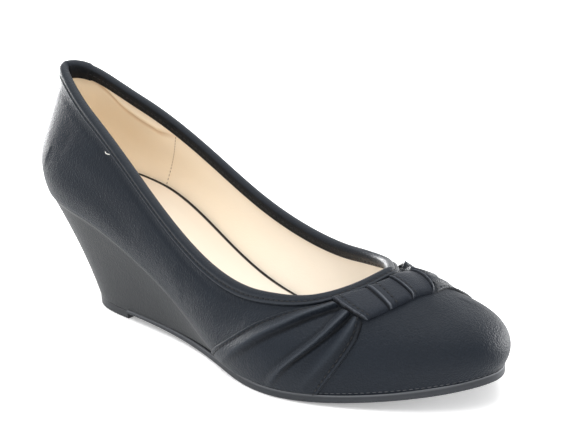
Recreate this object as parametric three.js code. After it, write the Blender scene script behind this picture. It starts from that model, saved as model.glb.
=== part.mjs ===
// Wedge pump, the right shoe of a pair, about a women's size 38, empty and standing on a level floor.
// Millimetres, Z up. While the shoe is built, X runs from heel to toe, Y to the inner side of the foot,
// and the origin is on the floor below the back of the heel. The finished shoe is centred on its box.
import * as THREE from "three";
import { mergeVertices } from "three/addons/utils/BufferGeometryUtils.js";

// Driving dimensions
const shoeLength = 242; // of the last, heel to toe along the floor
const ballWidth = 79.5; // across the sole at the ball of the foot
const seatHeight = 51; // heel seat above the floor, at the back
const counterHeight = 52.5; // top line above the heel seat, at the back
const seatFall = 0.186; // how steeply the heel seat falls towards the toe
const toeSpring = 11; // toe tip above the floor
const wallThickness = 1.8; // upper leather and lining together
const soleThickness = 2.7; // outsole at the forefoot
const waistThickness = 1.2; // outsole where it meets the top piece
const insoleThickness = 1.8;
const heelRake = 30.5; // foot of the wedge ahead of the back of the heel
const tipLength = 35; // rubber top piece under the heel
const tipWidth = 45;
const tipThickness = 4;
const wedgeHollow = 1; // how far the wedge's cover curves in
const creaseInset = 0.6; // wedge edge inside the upper's lower edge
const bindingDrop = 3.4; // collar binding, outside
const facingDrop = 4.5; // collar binding, inside
const bindingThickness = 0.8;
const bindingRoll = 0.4; // extra roundness along the top line
const drapeThickness = 1;
const pleatRise = 3.2; // pleats above the drape, at the knot
const bandThickness = 1.5; // knot band at its edges
const bandCrown = 1.6; // knot band's rise in the middle
const ridgeRise = 1.3; // stitched ridges on the knot band
const clearance = 0.3; // between pieces that touch

// Places along the sole, as shares of the shoe's length
const seatEnd = 0.172 * shoeLength;
const treadStart = 0.63 * shoeLength;
const springStart = 0.675 * shoeLength;
const breast = heelRake + tipLength;

// Mesh fineness
const stepsPerRow = 4; // steps between two rows of the section table
const wallSteps = 13;
const acrossSteps = 4;
const sideSteps = 4;
const pleatSteps = 20;
const drapeSteps = 10;
const bandSteps = 28;
const bandWidthSteps = 6;

// Turns rows of numbers into objects with the columns' names.
function readTable(columns, rows) {
  return rows.map((row) => Object.fromEntries(columns.map((column, i) => [column, row[i]])));
}

// Half sections of the last from heel to toe. At and the widths place the lower edge (foot) and the top
// line (top): at is a share of the length, the widths to the outer (lat) and inner (med) side are shares
// of the ball width. latRise and medRise are the top line above the sole on the outer and inner side, as
// shares of the counter's height.
// lean and rise set how the wall leaves the sole, reach and drop how it comes up to the top line:
// lean and reach are shares of the ball width, rise and drop of the counter's height.
const sections = readTable(
  ["name", "footAt", "footLat", "footMed",
    "topAt", "topLat", "topMed", "latRise", "medRise", "lean", "rise", "reach", "drop"],
  [
    ["back", 0.015, 0, 0, 0.03, 0, 0, 1.0, 1.0, 0.105, 0.42, 0.05, 0.38],
    ["corner", 0.045, -0.225, 0.21, 0.062, -0.09, 0.11, 0.975, 0.99, 0.1, 0.42, 0.05, 0.38],
    ["heel", 0.13, -0.32, 0.32, 0.158, -0.19, 0.185, 0.831, 0.86, 0.075, 0.38, 0.038, 0.34],
    ["seat", 0.27, -0.335, 0.31, 0.296, -0.275, 0.27, 0.682, 0.71, 0.064, 0.3, 0.026, 0.27],
    ["waist", 0.41, -0.35, 0.275, 0.433, -0.338, 0.325, 0.596, 0.63, 0.07, 0.27, 0.028, 0.23],
    ["shank", 0.54, -0.455, 0.33, 0.572, -0.375, 0.365, 0.587, 0.63, 0.075, 0.27, 0.05, 0.19],
    ["ball", 0.65, -0.525, 0.45, 0.692, -0.335, 0.315, 0.611, 0.655, 0.075, 0.29, 0.113, 0.15],
    ["tread", 0.76, -0.488, 0.51, 0.75, -0.24, 0.185, 0.657, 0.7, 0.068, 0.307, 0.166, 0.12],
    ["toe", 0.871, -0.334, 0.458, 0.78, -0.148, 0.08, 0.71, 0.73, 0.038, 0.305, 0.245, 0.123],
    ["tipCorner", 0.953, -0.17, 0.276, 0.79, -0.055, 0.04, 0.74, 0.745, 0.124, 0.379, 0.314, 0.136],
    ["tip", 0.996, 0.043, 0.043, 0.793, 0.01, 0.01, 0.752, 0.752, 0.168, 0.354, 0.319, 0.129],
  ],
);

// Foot of the wedge, under the first rows of the section table. The first four rows follow the top
// piece (shares of its length from its back, and of its width), the next two the arch (shares of the
// shoe's length and of the ball width). From the ball on, the sole has the upper's own outline.
const tipRows = readTable(
  ["at", "lat", "med"],
  [
    [0, 0, 0],
    [0.09, -0.2, 0.19],
    [0.4, -0.42, 0.41],
    [1, -0.51, 0.49],
  ],
);
const archRows = readTable(
  ["at", "lat", "med"],
  [
    [0.41, -0.33, 0.265],
    [0.54, -0.425, 0.31],
  ],
);

const wedgeFrontRow = 5.3; // the wedge thins out to its front edge here

// Drapes: rows run from the knot down to the sole, columns are the rear edge, the middle pleat and the
// front edge, each as a row number around the section table and a share up the wall.
const drapeColumns = ["rearRow", "rearUp", "midRow", "midUp", "frontRow", "frontUp"];
const lateralDrape = readTable(drapeColumns, [
  [6.93, 0.9, 7.4, 0.775, 7.8, 0.645],
  [6.15, 0.86, 7.03, 0.66, 7.68, 0.5],
  [5.72, 0.68, 6.75, 0.47, 7.5, 0.34],
  [5.42, 0.35, 6.5, 0.25, 7.3, 0.15],
  [5.04, 0.03, 6.33, 0.03, 7.16, 0.03],
]);
const medialDrape = readTable(drapeColumns, [
  [13.3, 0.88, 11.75, 0.84, 10.2, 0.735],
  [13.4, 0.68, 12.1, 0.68, 10.75, 0.7],
  [13.55, 0.45, 12.5, 0.48, 11.3, 0.56],
  [13.68, 0.22, 12.85, 0.26, 11.85, 0.32],
  [13.8, 0.03, 13.02, 0.03, 12.25, 0.03],
]);

// Knot band: rows run from its outer to its inner end, with its rear and front edge.
const knotBand = readTable(
  ["rearRow", "rearUp", "frontRow", "frontUp"],
  [
    [7.0, 0.92, 7.88, 0.66],
    [8.12, 0.93, 8.42, 0.715],
    [9.25, 0.935, 9.33, 0.755],
    [9.95, 0.935, 9.8, 0.755],
    [10.95, 0.905, 10.1, 0.74],
  ],
);
const pleatPlaces = [0.22, 0.5, 0.76]; // shares across a drape
const pleatHalf = 0.13; // half a pleat's width, as a share of the drape's
const pleatFade = 0.8; // share of a pleat's height that is gone at the sole
const ridgePlaces = [0.03, 0.25, 0.5, 0.97]; // shares along the knot band
const ridgeHalf = 0.06; // half a ridge's width, as a share of the band's length

// Smooth closed curve of numbers through the knots, which lie at 0, 1, 2 and so on.
function closedSpline(knots) {
  const count = knots.length;
  const bend = knots.map(() => 0);
  for (let pass = 0; pass < 40; pass++) {
    for (let i = 0; i < count; i++) {
      const before = (i + count - 1) % count;
      const after = (i + 1) % count;
      const turn = knots[before] - 2 * knots[i] + knots[after];
      bend[i] = (6 * turn - bend[before] - bend[after]) / 4;
    }
  }
  return (place) => {
    const low = Math.floor(place);
    const b = place - low;
    const a = 1 - b;
    const i = ((low % count) + count) % count;
    const j = (i + 1) % count;
    return a * knots[i] + b * knots[j] + ((a ** 3 - a) * bend[i] + (b ** 3 - b) * bend[j]) / 6;
  };
}

// The rows once around the shoe: outer side from heel to toe, then the inner side back to the heel.
function aroundShoe(rows, lateral, medial) {
  return closedSpline([...rows.map(lateral), ...rows.slice(1, -1).reverse().map(medial)]);
}

const rowsAround = 2 * (sections.length - 1);
const toeRow = sections.length - 1;

// Height of the surface on which the upper and the insole stand.
function seatZ(x) {
  const low = soleThickness + clearance;
  const high = seatHeight - seatFall * seatEnd;
  const run = treadStart - seatEnd;
  const t = THREE.MathUtils.clamp((x - seatEnd) / run, 0, 1);
  const shank = (2 * t ** 3 - 3 * t ** 2 + 1) * high + (3 * t ** 2 - 2 * t ** 3) * low;
  const entry = (t ** 3 - 2 * t ** 2 + t) * run * -seatFall;
  const sole = x < seatEnd ? seatHeight - seatFall * x : shank + entry;
  return sole + springZ(x);
}

// Rise of the forefoot towards the toe.
function springZ(x) {
  const share = Math.max(0, (x - springStart) / (shoeLength - springStart));
  return toeSpring * share ** 2;
}

// Underside and top of the outsole: thin and raised at the top piece, level under the ball.
function soleShare(x) {
  return THREE.MathUtils.smoothstep(x, breast, treadStart);
}
function soleUnderZ(x) {
  return (tipThickness - waistThickness) * (1 - soleShare(x)) + springZ(x);
}
function soleTopZ(x) {
  return soleUnderZ(x) + THREE.MathUtils.lerp(waistThickness, soleThickness, soleShare(x));
}

// Outlines around the shoe, as functions of the row number
const footX = aroundShoe(sections, (r) => r.footAt * shoeLength, (r) => r.footAt * shoeLength);
const footY = aroundShoe(sections, (r) => r.footLat * ballWidth, (r) => r.footMed * ballWidth);
const topX = aroundShoe(sections, (r) => r.topAt * shoeLength, (r) => r.topAt * shoeLength);
const topY = aroundShoe(sections, (r) => r.topLat * ballWidth, (r) => r.topMed * ballWidth);
const topRise = aroundShoe(sections, (r) => r.latRise * counterHeight, (r) => r.medRise * counterHeight);
const lean = aroundShoe(sections, (r) => r.lean * ballWidth, (r) => r.lean * ballWidth);
const rise = aroundShoe(sections, (r) => r.rise * counterHeight, (r) => r.rise * counterHeight);
const reach = aroundShoe(sections, (r) => r.reach * ballWidth, (r) => r.reach * ballWidth);
const drop = aroundShoe(sections, (r) => r.drop * counterHeight, (r) => r.drop * counterHeight);

const baseRows = [
  ...tipRows.map((r) => ({ x: heelRake + r.at * tipLength, lat: r.lat * tipWidth, med: r.med * tipWidth })),
  ...archRows.map((r) => ({ x: r.at * shoeLength, lat: r.lat * ballWidth, med: r.med * ballWidth })),
  ...sections.slice(tipRows.length + archRows.length).map((r) => ({
    x: r.footAt * shoeLength,
    lat: r.footLat * ballWidth,
    med: r.footMed * ballWidth,
  })),
];
const baseX = aroundShoe(baseRows, (r) => r.x, (r) => r.x);
const baseY = aroundShoe(baseRows, (r) => r.lat, (r) => r.med);

// Level direction out of an outline.
function outOf(outlineX, outlineY, row) {
  const step = 0.01;
  const dx = outlineX(row + step) - outlineX(row - step);
  const dy = outlineY(row + step) - outlineY(row - step);
  return new THREE.Vector3(dy, -dx, 0).normalize();
}

// Outer face of the upper: row goes around the shoe, up goes from the lower edge (0) to the top line (1).
function upperFace(row, up) {
  const foot = new THREE.Vector3(footX(row), footY(row), seatZ(footX(row)));
  const top = new THREE.Vector3(topX(row), topY(row), seatZ(topX(row)) + topRise(row));
  const low = foot.clone().addScaledVector(outOf(footX, footY, row), lean(row));
  low.z += rise(row);
  const high = top.clone().addScaledVector(outOf(topX, topY, row), reach(row));
  high.z -= drop(row);
  const down = 1 - up;
  return foot
    .multiplyScalar(down ** 3)
    .addScaledVector(low, 3 * down ** 2 * up)
    .addScaledVector(high, 3 * down * up ** 2)
    .addScaledVector(top, up ** 3);
}

// Direction square to the upper's outer face.
function upperNormal(row, up) {
  const step = 0.004;
  const along = upperFace(row + step, up).sub(upperFace(row - step, up));
  const upward = upperFace(row, up + step).sub(upperFace(row, up - step));
  return along.cross(upward).normalize();
}

// A point off the upper's outer face, and its inner face
function offUpper(row, up, out) {
  return upperFace(row, up).addScaledVector(upperNormal(row, up), out);
}
function upperInside(row, up) {
  if (up > 0) return offUpper(row, up, -wallThickness);
  const foot = upperFace(row, 0).addScaledVector(outOf(footX, footY, row), -wallThickness);
  foot.z = seatZ(foot.x);
  return foot;
}

// Share up the wall that lies a given length below the top line.
function upBelowTop(row, length) {
  const step = 0.01;
  let up = 1;
  let left = length;
  while (left > 0 && up > step) {
    const part = upperFace(row, up).distanceTo(upperFace(row, up - step));
    up -= step * Math.min(1, left / part);
    left -= part;
  }
  return up;
}

// One closed solid between two grids of points of the same size. A closed grid joins its last row to
// its first. Points that coincide are merged, and the faces are turned outwards.
function solidBetween(upperGrid, lowerGrid, closed) {
  const columns = upperGrid[0].length;
  const points = [...upperGrid.flat(), ...lowerGrid.flat()];
  const corners = [];
  const at = (side, i, j) => (side * upperGrid.length + (i % upperGrid.length)) * columns + j;
  const face = (a, b, c, d) => corners.push(a, b, c, a, c, d);
  const spans = closed ? upperGrid.length : upperGrid.length - 1;
  for (let i = 0; i < spans; i++) {
    for (let j = 0; j < columns - 1; j++) {
      face(at(0, i, j), at(0, i + 1, j), at(0, i + 1, j + 1), at(0, i, j + 1));
      face(at(1, i, j), at(1, i, j + 1), at(1, i + 1, j + 1), at(1, i + 1, j));
    }
    face(at(1, i, 0), at(1, i + 1, 0), at(0, i + 1, 0), at(0, i, 0));
    const last = columns - 1;
    face(at(0, i, last), at(0, i + 1, last), at(1, i + 1, last), at(1, i, last));
  }
  for (let j = 0; j < columns - 1 && !closed; j++) {
    face(at(1, 0, j), at(0, 0, j), at(0, 0, j + 1), at(1, 0, j + 1));
    face(at(0, spans, j), at(1, spans, j), at(1, spans, j + 1), at(0, spans, j + 1));
  }
  return weldedGeometry(points, corners);
}

function weldedGeometry(points, corners) {
  const loose = new THREE.BufferGeometry().setFromPoints(points);
  loose.setIndex(corners);
  const welded = mergeVertices(loose, 0.001);
  const index = welded.index.array;
  const place = welded.attributes.position;
  const kept = [];
  let volume = 0;
  for (let i = 0; i < index.length; i += 3) {
    const [a, b, c] = [index[i], index[i + 1], index[i + 2]];
    if (a === b || b === c || c === a) continue;
    const corner = [a, b, c].map((k) => new THREE.Vector3().fromBufferAttribute(place, k));
    volume += corner[0].dot(corner[1].cross(corner[2]));
    kept.push(a, b, c);
  }
  if (volume < 0) kept.reverse();
  welded.setIndex(kept);
  welded.computeVertexNormals();
  return welded;
}

function steps(from, to, count) {
  return Array.from({ length: count + 1 }, (_, i) => from + ((to - from) * i) / count);
}

// Upper: a hollow wall around the foot, open at the top line and along the sole.
function makeUpper() {
  const rows = steps(0, rowsAround, rowsAround * stepsPerRow).slice(0, -1);
  const ups = steps(0, 1, wallSteps);
  const outside = rows.map((row) => ups.map((up) => upperFace(row, up)));
  const inside = rows.map((row) => ups.map((up) => upperInside(row, up)));
  return solidBetween(outside, inside, true);
}

// Collar binding: a strip folded over the upper's top edge, deeper inside than outside.
function makeCollarBinding() {
  const inner = -wallThickness - clearance;
  const rows = steps(0, rowsAround, rowsAround * stepsPerRow).slice(0, -1);
  const skin = clearance + bindingThickness;
  const outline = [
    [bindingDrop, skin, clearance],
    [bindingDrop / 3, skin + bindingRoll, clearance],
    [-clearance - bindingThickness, clearance, clearance],
    [-clearance - bindingThickness - bindingRoll, -wallThickness / 2, -wallThickness / 2],
    [-clearance - bindingThickness, inner, inner],
    [facingDrop / 4, inner - bindingThickness, inner],
    [facingDrop, inner - bindingThickness, inner],
  ];
  const section = (row, pick) =>
    outline.map(([down, outer, own]) => {
      const above = down < 0;
      const up = above ? 1 : upBelowTop(row, down);
      const point = offUpper(row, up, pick === "cover" ? outer : own);
      const lift = pick === "cover" ? -down : clearance;
      return above ? point.addScaledVector(topTangent(row), lift) : point;
    });
  const cover = rows.map((row) => section(row, "cover"));
  const lining = rows.map((row) => section(row, "lining"));
  return solidBetween(cover, lining, true);
}

function topTangent(row) {
  const step = 0.004;
  return upperFace(row, 1).sub(upperFace(row, 1 - step)).normalize();
}

// A layer of the sole: cross lines from the outer to the inner side, between two heights.
function soleLayer(outline, fromRow, toRow, topZ, underZ) {
  const count = Math.round((toRow - fromRow) * stepsPerRow);
  const lines = steps(fromRow, toRow, count).map((row) => {
    const lateral = outline(row);
    const medial = outline(rowsAround - row);
    return steps(0, 1, acrossSteps).map((share) => lateral.clone().lerp(medial, share));
  });
  const raised = (z) => lines.map((line) => line.map((p) => new THREE.Vector3(p.x, p.y, z(p.x))));
  return solidBetween(raised(topZ), raised(underZ), false);
}

function footOutline(inset) {
  return (row) =>
    new THREE.Vector3(footX(row), footY(row), 0).addScaledVector(outOf(footX, footY, row), -inset);
}

function baseOutline(row) {
  return new THREE.Vector3(baseX(row), baseY(row), 0);
}

// Insole: fills the inside of the upper's lower edge.
function makeInsole() {
  const outline = footOutline(wallThickness + clearance);
  return soleLayer(outline, 0, toeRow, (x) => seatZ(x) + insoleThickness, seatZ);
}

// Outsole: from the top piece's front edge to the toe.
function makeOutsole() {
  const breastRow = tipRows.length - 1;
  return soleLayer(baseOutline, breastRow, toeRow, soleTopZ, soleUnderZ);
}

// Rubber top piece under the heel, with a straight front edge.
function makeHeelTip() {
  const outline = (row) => {
    const point = baseOutline(row);
    point.x = Math.min(point.x, breast - clearance);
    return point;
  };
  return soleLayer(outline, 0, tipRows.length - 1, () => tipThickness, () => 0);
}

// Covered wedge: hollow-sided, from the top piece and the outsole up to the upper's lower edge.
function makeWedge() {
  const head = footOutline(creaseInset);
  const levels = steps(0, 1, sideSteps);
  const sideAt = (row, level) => {
    const low = baseOutline(row);
    low.z = Math.max(tipThickness, soleTopZ(low.x)) + clearance;
    const high = head(row);
    high.z = seatZ(high.x) - clearance;
    const point = low.clone().lerp(high, level);
    const hollow = wedgeHollow * 4 * level * (1 - level) * ((high.z - low.z) / seatHeight);
    return point.addScaledVector(outOf(baseX, baseY, row), -hollow);
  };
  const cover = [];
  const under = [];
  for (const row of steps(0, wedgeFrontRow, Math.round(wedgeFrontRow * stepsPerRow))) {
    const mirror = rowsAround - row;
    const shares = steps(0, 1, acrossSteps).slice(1, -1);
    const topLine = shares.map((share) => sideAt(row, 1).lerp(sideAt(mirror, 1), share));
    topLine.forEach((p) => (p.z = seatZ(p.x) - clearance));
    const lowLine = shares.map((share) => sideAt(row, 0).lerp(sideAt(mirror, 0), share));
    cover.push([
      ...levels.map((level) => sideAt(row, level)),
      ...topLine,
      ...levels.toReversed().map((level) => sideAt(mirror, level)),
    ]);
    under.push([
      ...levels.map(() => sideAt(row, 0)),
      ...lowLine,
      ...levels.map(() => sideAt(mirror, 0)),
    ]);
  }
  return solidBetween(cover, under, false);
}

// Smooth curve through the points that a table gives for two of its columns.
function edgeCurve(table, rowColumn, upColumn) {
  return new THREE.SplineCurve(table.map((r) => new THREE.Vector2(r[rowColumn], r[upColumn])));
}

// Raised line: one at the line and none at half its width or more away.
function ridge(distance, width) {
  const share = Math.min(1, Math.abs(distance) / width);
  return (1 - share ** 2) ** 2;
}

// A layer on the upper between its surface and a height, kept below the collar binding.
function layerOnUpper(grid, height) {
  const place = (point, out) => {
    const highest = upBelowTop(point.x, bindingDrop + clearance);
    return offUpper(point.x, Math.min(point.y, highest), out);
  };
  const cover = grid.map((line, i) => line.map((point, j) => place(point, clearance + height(i, j))));
  const back = grid.map((line) => line.map((point) => place(point, clearance)));
  return solidBetween(cover, back, false);
}

// Pleated drape: a panel gathered under the knot band, its three pleats fanning out to the sole.
function makeDrape(table) {
  const rear = edgeCurve(table, "rearRow", "rearUp");
  const middle = edgeCurve(table, "midRow", "midUp");
  const front = edgeCurve(table, "frontRow", "frontUp");
  const acrosses = steps(0, 1, pleatSteps);
  const downs = steps(0, 1, drapeSteps);
  const grid = acrosses.map((across) =>
    downs.map((down) => {
      const half = across < 0.5 ? rear.getPoint(down) : front.getPoint(down);
      return middle.getPoint(down).lerp(half, Math.abs(2 * across - 1));
    }),
  );
  const height = (i, j) => {
    const pleats = pleatPlaces.map((place) => ridge(acrosses[i] - place, pleatHalf));
    const fade = 1 - pleatFade * downs[j];
    return drapeThickness + pleatRise * fade * pleats.reduce((a, b) => a + b);
  };
  return layerOnUpper(grid, height);
}

// Knot band: a folded strap across the vamp, ridged where it is stitched.
function makeKnotBand() {
  const rear = edgeCurve(knotBand, "rearRow", "rearUp");
  const front = edgeCurve(knotBand, "frontRow", "frontUp");
  const alongs = steps(0, 1, bandSteps);
  const acrosses = steps(0, 1, bandWidthSteps);
  const grid = alongs.map((along) =>
    acrosses.map((across) => rear.getPoint(along).lerp(front.getPoint(along), across)),
  );
  const height = (i, j) => {
    const ridges = ridgePlaces.map((place) => ridge(alongs[i] - place, ridgeHalf));
    const crown = Math.sqrt(4 * acrosses[j] * (1 - acrosses[j]));
    return bandThickness + bandCrown * crown + ridgeRise * ridges.reduce((a, b) => a + b);
  };
  return layerOnUpper(grid, height);
}

function leather(color, roughness) {
  return new THREE.MeshStandardMaterial({ color, roughness, metalness: 0 });
}

function piece(name, geometry, material) {
  const mesh = new THREE.Mesh(geometry, material);
  mesh.name = name;
  return mesh;
}

const shoe = new THREE.Group();
shoe.add(
  piece("outsole", makeOutsole(), leather(0x2a2b2d, 0.7)),
  piece("heel_tip", makeHeelTip(), leather(0x232426, 0.75)),
  piece("wedge", makeWedge(), leather(0x464849, 0.6)),
  piece("insole", makeInsole(), leather(0xe6cdb0, 0.75)),
  piece("upper", makeUpper(), leather(0x2d3238, 0.55)),
  piece("collar_binding", makeCollarBinding(), leather(0x26292d, 0.5)),
  piece("drape_lateral", makeDrape(lateralDrape), leather(0x2d3238, 0.5)),
  piece("drape_medial", makeDrape(medialDrape), leather(0x2d3238, 0.5)),
  piece("knot_band", makeKnotBand(), leather(0x2b3036, 0.5)),
);

// The shoe stands on the floor with the middle of its box over the origin.
const box = new THREE.Box3().setFromObject(shoe);
const middle = box.getCenter(new THREE.Vector3());
shoe.position.set(-middle.x, -middle.y, -box.min.z);

const part = new THREE.Group();
part.add(shoe);

export default part;
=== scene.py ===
import math

import bmesh
import bpy
import numpy as np
from mathutils import Matrix, Vector


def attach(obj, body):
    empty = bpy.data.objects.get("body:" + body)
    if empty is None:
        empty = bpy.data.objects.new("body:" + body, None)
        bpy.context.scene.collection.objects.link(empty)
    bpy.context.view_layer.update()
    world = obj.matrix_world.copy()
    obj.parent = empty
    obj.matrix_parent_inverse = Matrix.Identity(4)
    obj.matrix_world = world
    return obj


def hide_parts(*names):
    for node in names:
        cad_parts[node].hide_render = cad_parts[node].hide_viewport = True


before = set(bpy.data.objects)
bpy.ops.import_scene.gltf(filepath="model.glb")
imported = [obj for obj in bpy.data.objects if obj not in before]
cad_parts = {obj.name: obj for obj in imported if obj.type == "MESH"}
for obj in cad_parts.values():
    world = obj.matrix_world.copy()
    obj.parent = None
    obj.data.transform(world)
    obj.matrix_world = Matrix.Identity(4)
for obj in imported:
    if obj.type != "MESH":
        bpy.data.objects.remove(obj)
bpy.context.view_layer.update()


# Camera: looks down on the outer side of the shoe from in front of the toe, a little rolled, from about
# 0.6 m away. Its place is worked out from the aim point on the shoe.
photo_width, sensor_width = 577, 36
focal_pixels = 1506.135
camera_turn, camera_height, camera_roll = (math.radians(a) for a in (42.76, 17.963, -1.753))
camera_distance = 0.624954
aside, above = 0.015797, 0.00184
aim = Vector((-0.001875, 0.000972, 0.05))

forward = Vector((
    -math.sin(camera_turn) * math.cos(camera_height),
    math.cos(camera_turn) * math.cos(camera_height),
    -math.sin(camera_height),
))
level = Vector((math.cos(camera_turn), math.sin(camera_turn), 0))
upright = level.cross(forward)
right = math.cos(camera_roll) * level + math.sin(camera_roll) * upright
up_in_view = math.cos(camera_roll) * upright - math.sin(camera_roll) * level
eye = aim - forward * camera_distance + right * aside + up_in_view * above

camera = bpy.data.objects.new("camera", bpy.data.cameras.new("camera"))
camera.data.sensor_width = sensor_width
camera.data.sensor_fit = "HORIZONTAL"
camera.data.lens = focal_pixels * sensor_width / photo_width
camera.data.clip_start, camera.data.clip_end = 0.01, 20
camera.matrix_world = Matrix((
    (right.x, up_in_view.x, -forward.x, eye.x),
    (right.y, up_in_view.y, -forward.y, eye.y),
    (right.z, up_in_view.z, -forward.z, eye.z),
    (0, 0, 0, 1),
))
scene = bpy.context.scene
scene.collection.objects.link(camera)
scene.camera = camera
scene.view_settings.view_transform = "Standard"


# Studio: a white surround, two broad lights above, two low ones behind the heel and on the inner side of
# the toe that give the dark leather its light rims, and a pale matt floor.
def soft_light(name, place, towards, size, power):
    light = bpy.data.lights.new(name, "AREA")
    light.shape = "RECTANGLE"
    light.size, light.size_y = size
    light.energy = power
    lamp = bpy.data.objects.new(name, light)
    lamp.location = place
    lamp.rotation_euler = (Vector(towards) - Vector(place)).to_track_quat("-Z", "Y").to_euler()
    scene.collection.objects.link(lamp)


soft_light("light_over", (-0.2, 0.1, 1.5), (0, 0, 0.05), (1.6, 1.2), 16)
soft_light("light_heel", (-1.1, 0.32, 0.1), (-0.1, 0, 0.06), (0.6, 0.35), 29)
soft_light("light_toe", (0.45, 1.1, 0.12), (0.1, 0, 0.03), (0.7, 0.3), 18)
soft_light("light_front", (0.2, -0.8, 1.5), (0, 0, 0.05), (1.0, 0.8), 8)

surround = bpy.data.worlds.new("surround")
surround.use_nodes = True
surround.node_tree.nodes["Background"].inputs["Color"].default_value = (1.0, 1.0, 1.0, 1)
surround.node_tree.nodes["Background"].inputs["Strength"].default_value = 0.95
scene.world = surround


class Value:
    """A number or colour that changes over a surface. Sums on it add Math nodes."""

    def __init__(self, finish, socket):
        self.finish = finish
        self.socket = socket

    def maths(self, operation, *values):
        return self.finish.node("ShaderNodeMath", {"operation": operation}, dict(enumerate(values)))

    def __add__(self, other):
        return self.maths("ADD", self, other)

    def __sub__(self, other):
        return self.maths("SUBTRACT", self, other)

    def __rsub__(self, other):
        return self.maths("SUBTRACT", other, self)

    def __mul__(self, other):
        return self.maths("MULTIPLY", self, other)

    __radd__ = __add__
    __rmul__ = __mul__


class Finish:
    """A material in the making, on one principled shader. Every node comes from node()."""

    def __init__(self, name, fixed):
        self.material = bpy.data.materials.new(name)
        self.material.use_nodes = True
        self.shader = self.material.node_tree.nodes["Principled BSDF"]
        for socket, value in fixed.items():
            self.shader.inputs[socket].default_value = value

    def node(self, kind, settings=(), sockets=(), out=0):
        made = self.material.node_tree.nodes.new(kind)
        for setting, value in dict(settings).items():
            if setting == "stops":
                for stop, (place, shade) in zip(made.color_ramp.elements, value):
                    stop.position = place
                    stop.color = (shade, shade, shade, 1)
            else:
                setattr(made, setting, value)
        for socket, value in dict(sockets).items():
            self.feed(made.inputs[socket], value)
        return Value(self, made.outputs[out])

    def feed(self, socket, value):
        if isinstance(value, Value):
            self.material.node_tree.links.new(value.socket, socket)
        else:
            socket.default_value = value

    def shade(self, socket, value):
        self.feed(self.shader.inputs[socket], value)

    def place(self):
        return self.node("ShaderNodeTexCoord", out="Object")

    def lengthwise(self):
        """Metres ahead of the back of the heel, halved so that it fits a colour ramp."""
        return self.node("ShaderNodeSeparateXYZ", (), {0: self.place()}, out="X") * 0.5 + 0.06

    def noise(self, scale, detail=2.0, roughness=0.5):
        sockets = {"Vector": self.place(), "Scale": scale, "Detail": detail, "Roughness": roughness}
        return self.node("ShaderNodeTexNoise", (), sockets)

    def cells(self, scale):
        sockets = {"Vector": self.place(), "Scale": scale}
        return self.node("ShaderNodeTexVoronoi", {"feature": "F1"}, sockets, out="Distance")

    def field(self, name):
        return self.node("ShaderNodeAttribute", {"attribute_name": name}, out="Fac")

    def between(self, value, low, high):
        stops = [(low, 0), (high, 1)]
        return self.node("ShaderNodeValToRGB", {"stops": stops}, {0: value})

    def mix(self, share, one, other):
        return self.node("ShaderNodeMix", {"data_type": "RGBA"}, {0: share, 6: one, 7: other}, out=2)

    def bump(self, reliefs):
        normal = None
        for height, distance in reliefs:
            sockets = {"Height": height, "Distance": distance, "Strength": 1.0}
            if normal:
                sockets["Normal"] = normal
            normal = self.node("ShaderNodeBump", (), sockets)
        self.shade("Normal", normal)


def paint(red, green, blue):
    """Colour from the 0 to 255 numbers of a screen."""
    parts = [p / 255 for p in (red, green, blue)]
    return [p / 12.92 if p <= 0.04045 else ((p + 0.055) / 1.055) ** 2.4 for p in parts] + [1]


floor_reach, floor_drop = 4.0, 0.0002
corners = [(x * floor_reach, y * floor_reach, -floor_drop) for x, y in ((-1, -1), (1, -1), (1, 1), (-1, 1))]
floor_mesh = bpy.data.meshes.new("floor")
floor_mesh.from_pydata(corners, [], [(0, 1, 2, 3)])
floor = bpy.data.objects.new("floor", floor_mesh)
scene.collection.objects.link(floor)
matt_floor = Finish("matt_floor", {"Roughness": 0.9, "Specular IOR Level": 0.2, "Emission Strength": 0.3})
clouds = matt_floor.noise(6, 2)
matt_floor.shade("Base Color", matt_floor.mix(clouds, paint(250, 250, 250), paint(254, 254, 254)))
matt_floor.shade("Emission Color", (1.0, 1.0, 1.0, 1))
floor_mesh.materials.append(matt_floor.material)


# Upper: one skin of leatherette, pulled over the last from the feather edge to the top line, with a
# closed seam down the middle of the heel. It is drawn in a little below the binding, and swells and
# dips softly along its sides.
mm = 0.001
shoe_length, ball_width = 0.242, 0.0795
seat_height, counter_height, seat_fall = 0.051, 0.0525, 0.186
toe_spring = 0.011
wall_thickness, leather_thickness = 0.0018, 0.0009
sole_thickness, clearance = 0.0027, 0.0003
seat_end, tread_start, spring_start = 0.172 * shoe_length, 0.63 * shoe_length, 0.675 * shoe_length
shoe_middle = np.array((-0.121907, 0.000942, 0.0))
toe_row, rows_around = 10, 20

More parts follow.
